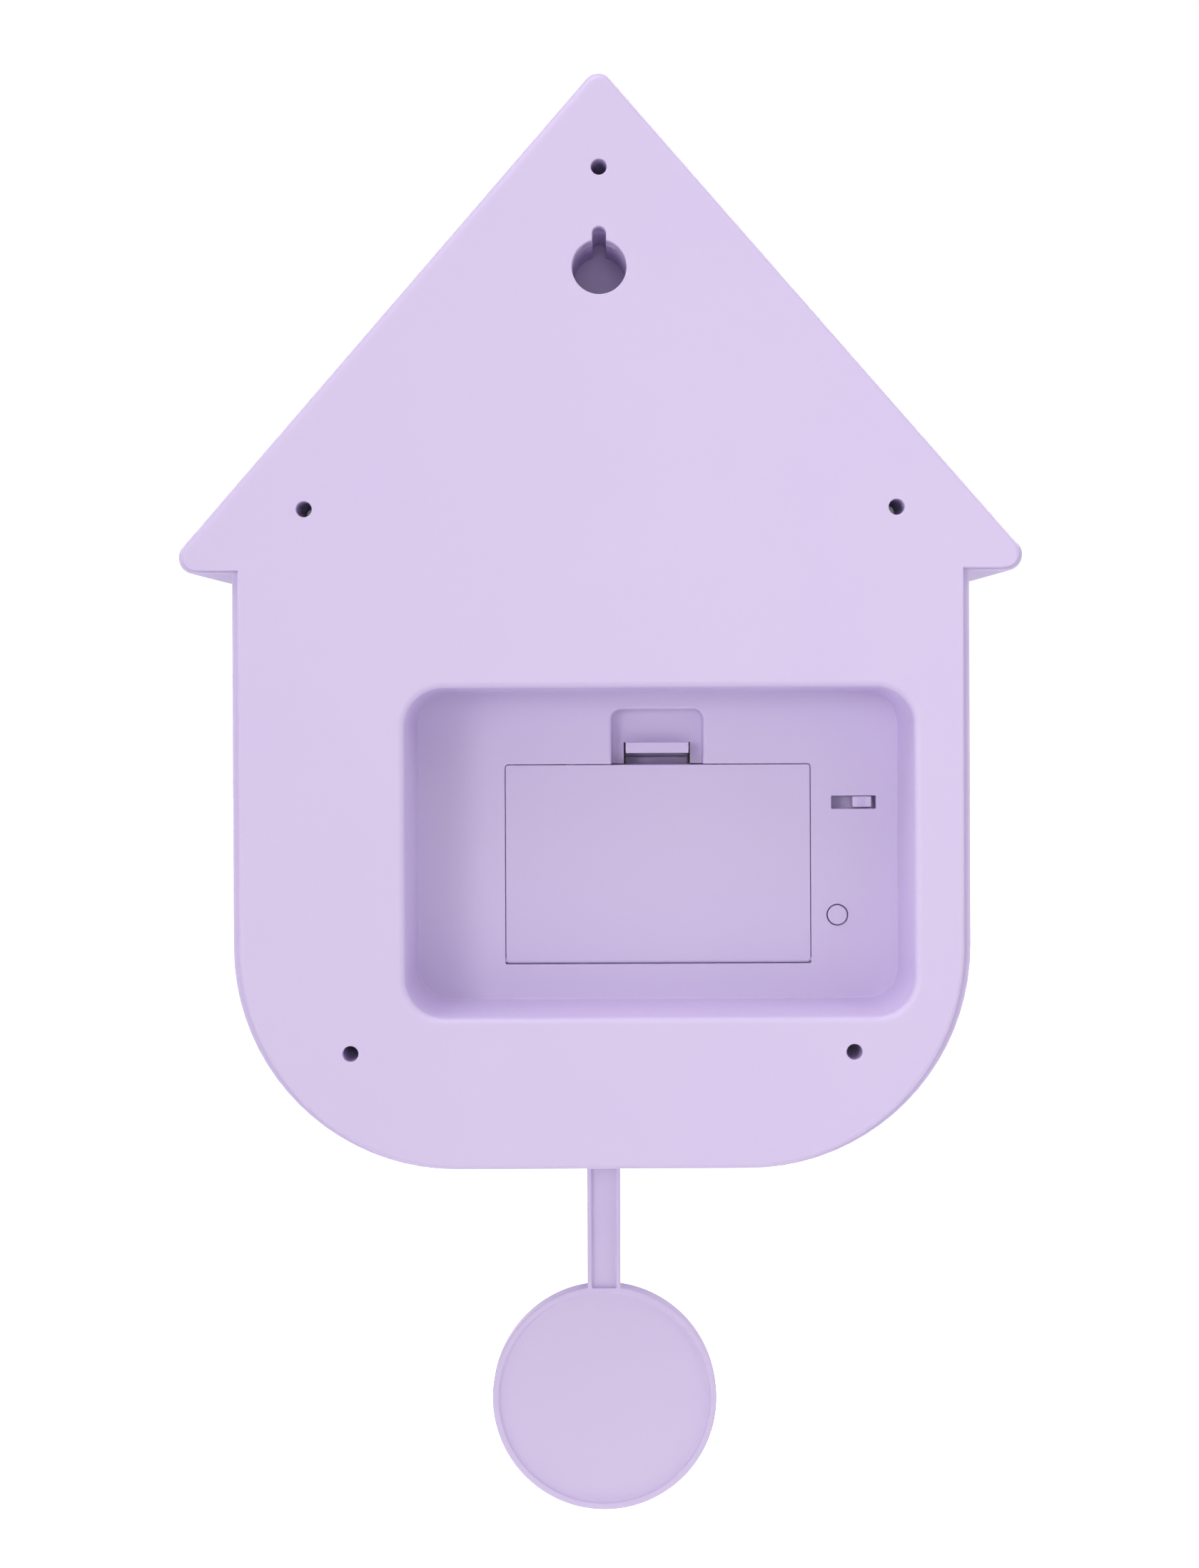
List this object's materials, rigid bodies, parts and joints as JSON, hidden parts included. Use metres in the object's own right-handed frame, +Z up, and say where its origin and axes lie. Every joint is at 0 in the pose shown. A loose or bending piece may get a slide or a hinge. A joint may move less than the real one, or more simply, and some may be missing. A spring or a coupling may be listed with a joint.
{
  "type": "cuckoo clock",
  "caption": "Wall cuckoo clock: house-shaped plastic case, round dial, sliding bird behind a hinged door, swinging disc pendulum, keyhole hanger and a rear battery pocket.",
  "frame": {"origin": "centre of the round keyhole hole in the rear face, on the wall plane", "axes": "+Z up, +Y out of the rear face towards the wall, the dial and door face -Y"},
  "size_m": [0.2138, 0.0701, 0.3728],
  "materials": {
    "lilac_plastic": "satin moulded",
    "dial_plastic": "satin",
    "white_plastic": "satin",
    "amber_plastic": "gloss",
    "black_plastic": "matte",
    "circuit_board": "lacquered",
    "smoked_lens": "clear",
    "cell_wrap": "satin film",
    "lead_wire": "satin",
    "steel": "plated",
    "brass": "plain",
    "copper_wire": "enamelled"
  },
  "bodies": {
    "case": {"front_shell": "lilac_plastic", "rear_cover": "lilac_plastic", "case_screws": "steel", "dial_bezel": "lilac_plastic", "dial_plate": "dial_plastic", "hour_markers": "white_plastic", "dial_screws": "steel", "movement_base": "white_plastic", "movement_lid": "white_plastic", "movement_nut": "brass", "motor_stator": "steel", "motor_coil": "copper_wire", "motor_rotor": "black_plastic", "movement_board": "circuit_board", "guide_rail": "white_plastic", "rail_screws": "steel", "bird_motor": "steel", "door_hinge_pin": "steel", "pendulum_bracket": "white_plastic", "pendulum_pin": "steel", "pendulum_coil": "copper_wire", "speaker_frame": "black_plastic", "speaker_cone": "black_plastic", "speaker_magnet": "steel", "main_board": "circuit_board", "sound_chip": "black_plastic", "capacitor": "black_plastic", "control_board": "circuit_board", "board_screws": "steel", "switch_body": "steel", "tact_switch": "black_plastic", "light_sensor": "black_plastic", "sensor_lens": "smoked_lens", "battery_tray": "dial_plastic", "contact_plates": "steel", "contact_springs": "steel", "battery_cells": "cell_wrap", "leads": "lead_wire"},
    "minute_works": {"centre_wheel": "brass", "minute_hand": "white_plastic", "hand_cap": "white_plastic"},
    "hour_works": {"hour_wheel": "brass", "hour_hand": "white_plastic"},
    "motion_wheel": {"minute_wheel": "brass"},
    "train_wheel": {"third_wheel": "brass"},
    "bird": {"bird_body": "white_plastic", "bird_wings": "dial_plastic", "bird_beak": "amber_plastic", "bird_eyes": "black_plastic", "bird_carriage": "white_plastic"},
    "pinion": {"drive_pinion": "brass"},
    "door": {"door": "lilac_plastic"},
    "pendulum": {"pendulum": "lilac_plastic", "pendulum_magnet": "steel"},
    "battery_cover": {"battery_cover": "lilac_plastic"},
    "cover_latch": {"cover_latch": "lilac_plastic"},
    "switch_knob": {"switch_knob": "lilac_plastic"},
    "set_button": {"button_cap": "lilac_plastic", "tact_plunger": "white_plastic"}
  },
  "joints": [
    {"name": "minute_spin", "type": "hinge", "parent": "case", "child": "minute_works", "pos_m": [0, -0.06, -0.131], "axis": [0, 1, 0], "continuous": true},
    {"name": "hour_spin", "type": "hinge", "parent": "case", "child": "hour_works", "pos_m": [0, -0.06, -0.131], "axis": [0, 1, 0], "continuous": true},
    {"name": "motion_wheel_spin", "type": "hinge", "parent": "case", "child": "motion_wheel", "pos_m": [-0.012, -0.055, -0.131], "axis": [0, 1, 0], "continuous": true},
    {"name": "train_wheel_spin", "type": "hinge", "parent": "case", "child": "train_wheel", "pos_m": [0.01202, -0.053, -0.14302], "axis": [0, 1, 0], "continuous": true},
    {"name": "bird_slide", "type": "slide", "parent": "case", "child": "bird", "axis": [0, -1, 0], "range_m": [0, 0.03]},
    {"name": "pinion_spin", "type": "hinge", "parent": "case", "child": "pinion", "pos_m": [0.014, -0.055, -0.048], "axis": [0, 0, 1], "range_deg": [0, 360]},
    {"name": "door_swing", "type": "hinge", "parent": "case", "child": "door", "pos_m": [-0.016, -0.06725, -0.04], "axis": [0, 0, -1], "range_deg": [0, 92]},
    {"name": "pendulum_swing", "type": "hinge", "parent": "case", "child": "pendulum", "pos_m": [0, -0.031, -0.202], "axis": [0, 1, 0], "range_deg": [-9, 9]},
    {"name": "cover_swing", "type": "hinge", "parent": "case", "child": "battery_cover", "pos_m": [-0.0147, -0.0279, -0.17805], "axis": [-1, 0, 0], "range_deg": [0, 90]},
    {"name": "latch_flex", "type": "hinge", "parent": "battery_cover", "child": "cover_latch", "pos_m": [-0.0146, -0.04045, -0.1248], "axis": [-1, 0, 0], "range_deg": [0, 10], "stiffness_Nm_per_rad": 0.2},
    {"name": "switch_slide", "type": "slide", "parent": "case", "child": "switch_knob", "axis": [1, 0, 0], "range_m": [0, 0.0044]},
    {"name": "button_press", "type": "slide", "parent": "case", "child": "set_button", "axis": [0, -1, 0], "range_m": [0, 0.0008], "stiffness_N_per_m": 400}
  ],
  "couplings": [
    {"joint": "hour_spin", "follows": "minute_spin", "ratio": 0.083333},
    {"joint": "motion_wheel_spin", "follows": "minute_spin", "ratio": -0.33333},
    {"joint": "train_wheel_spin", "follows": "minute_spin", "ratio": -7.5},
    {"joint": "pinion_spin", "follows": "bird_slide", "rad_per_m": 208.33},
    {"joint": "door_swing", "follows": "bird_slide", "rad_per_m": 53.5}
  ]
}
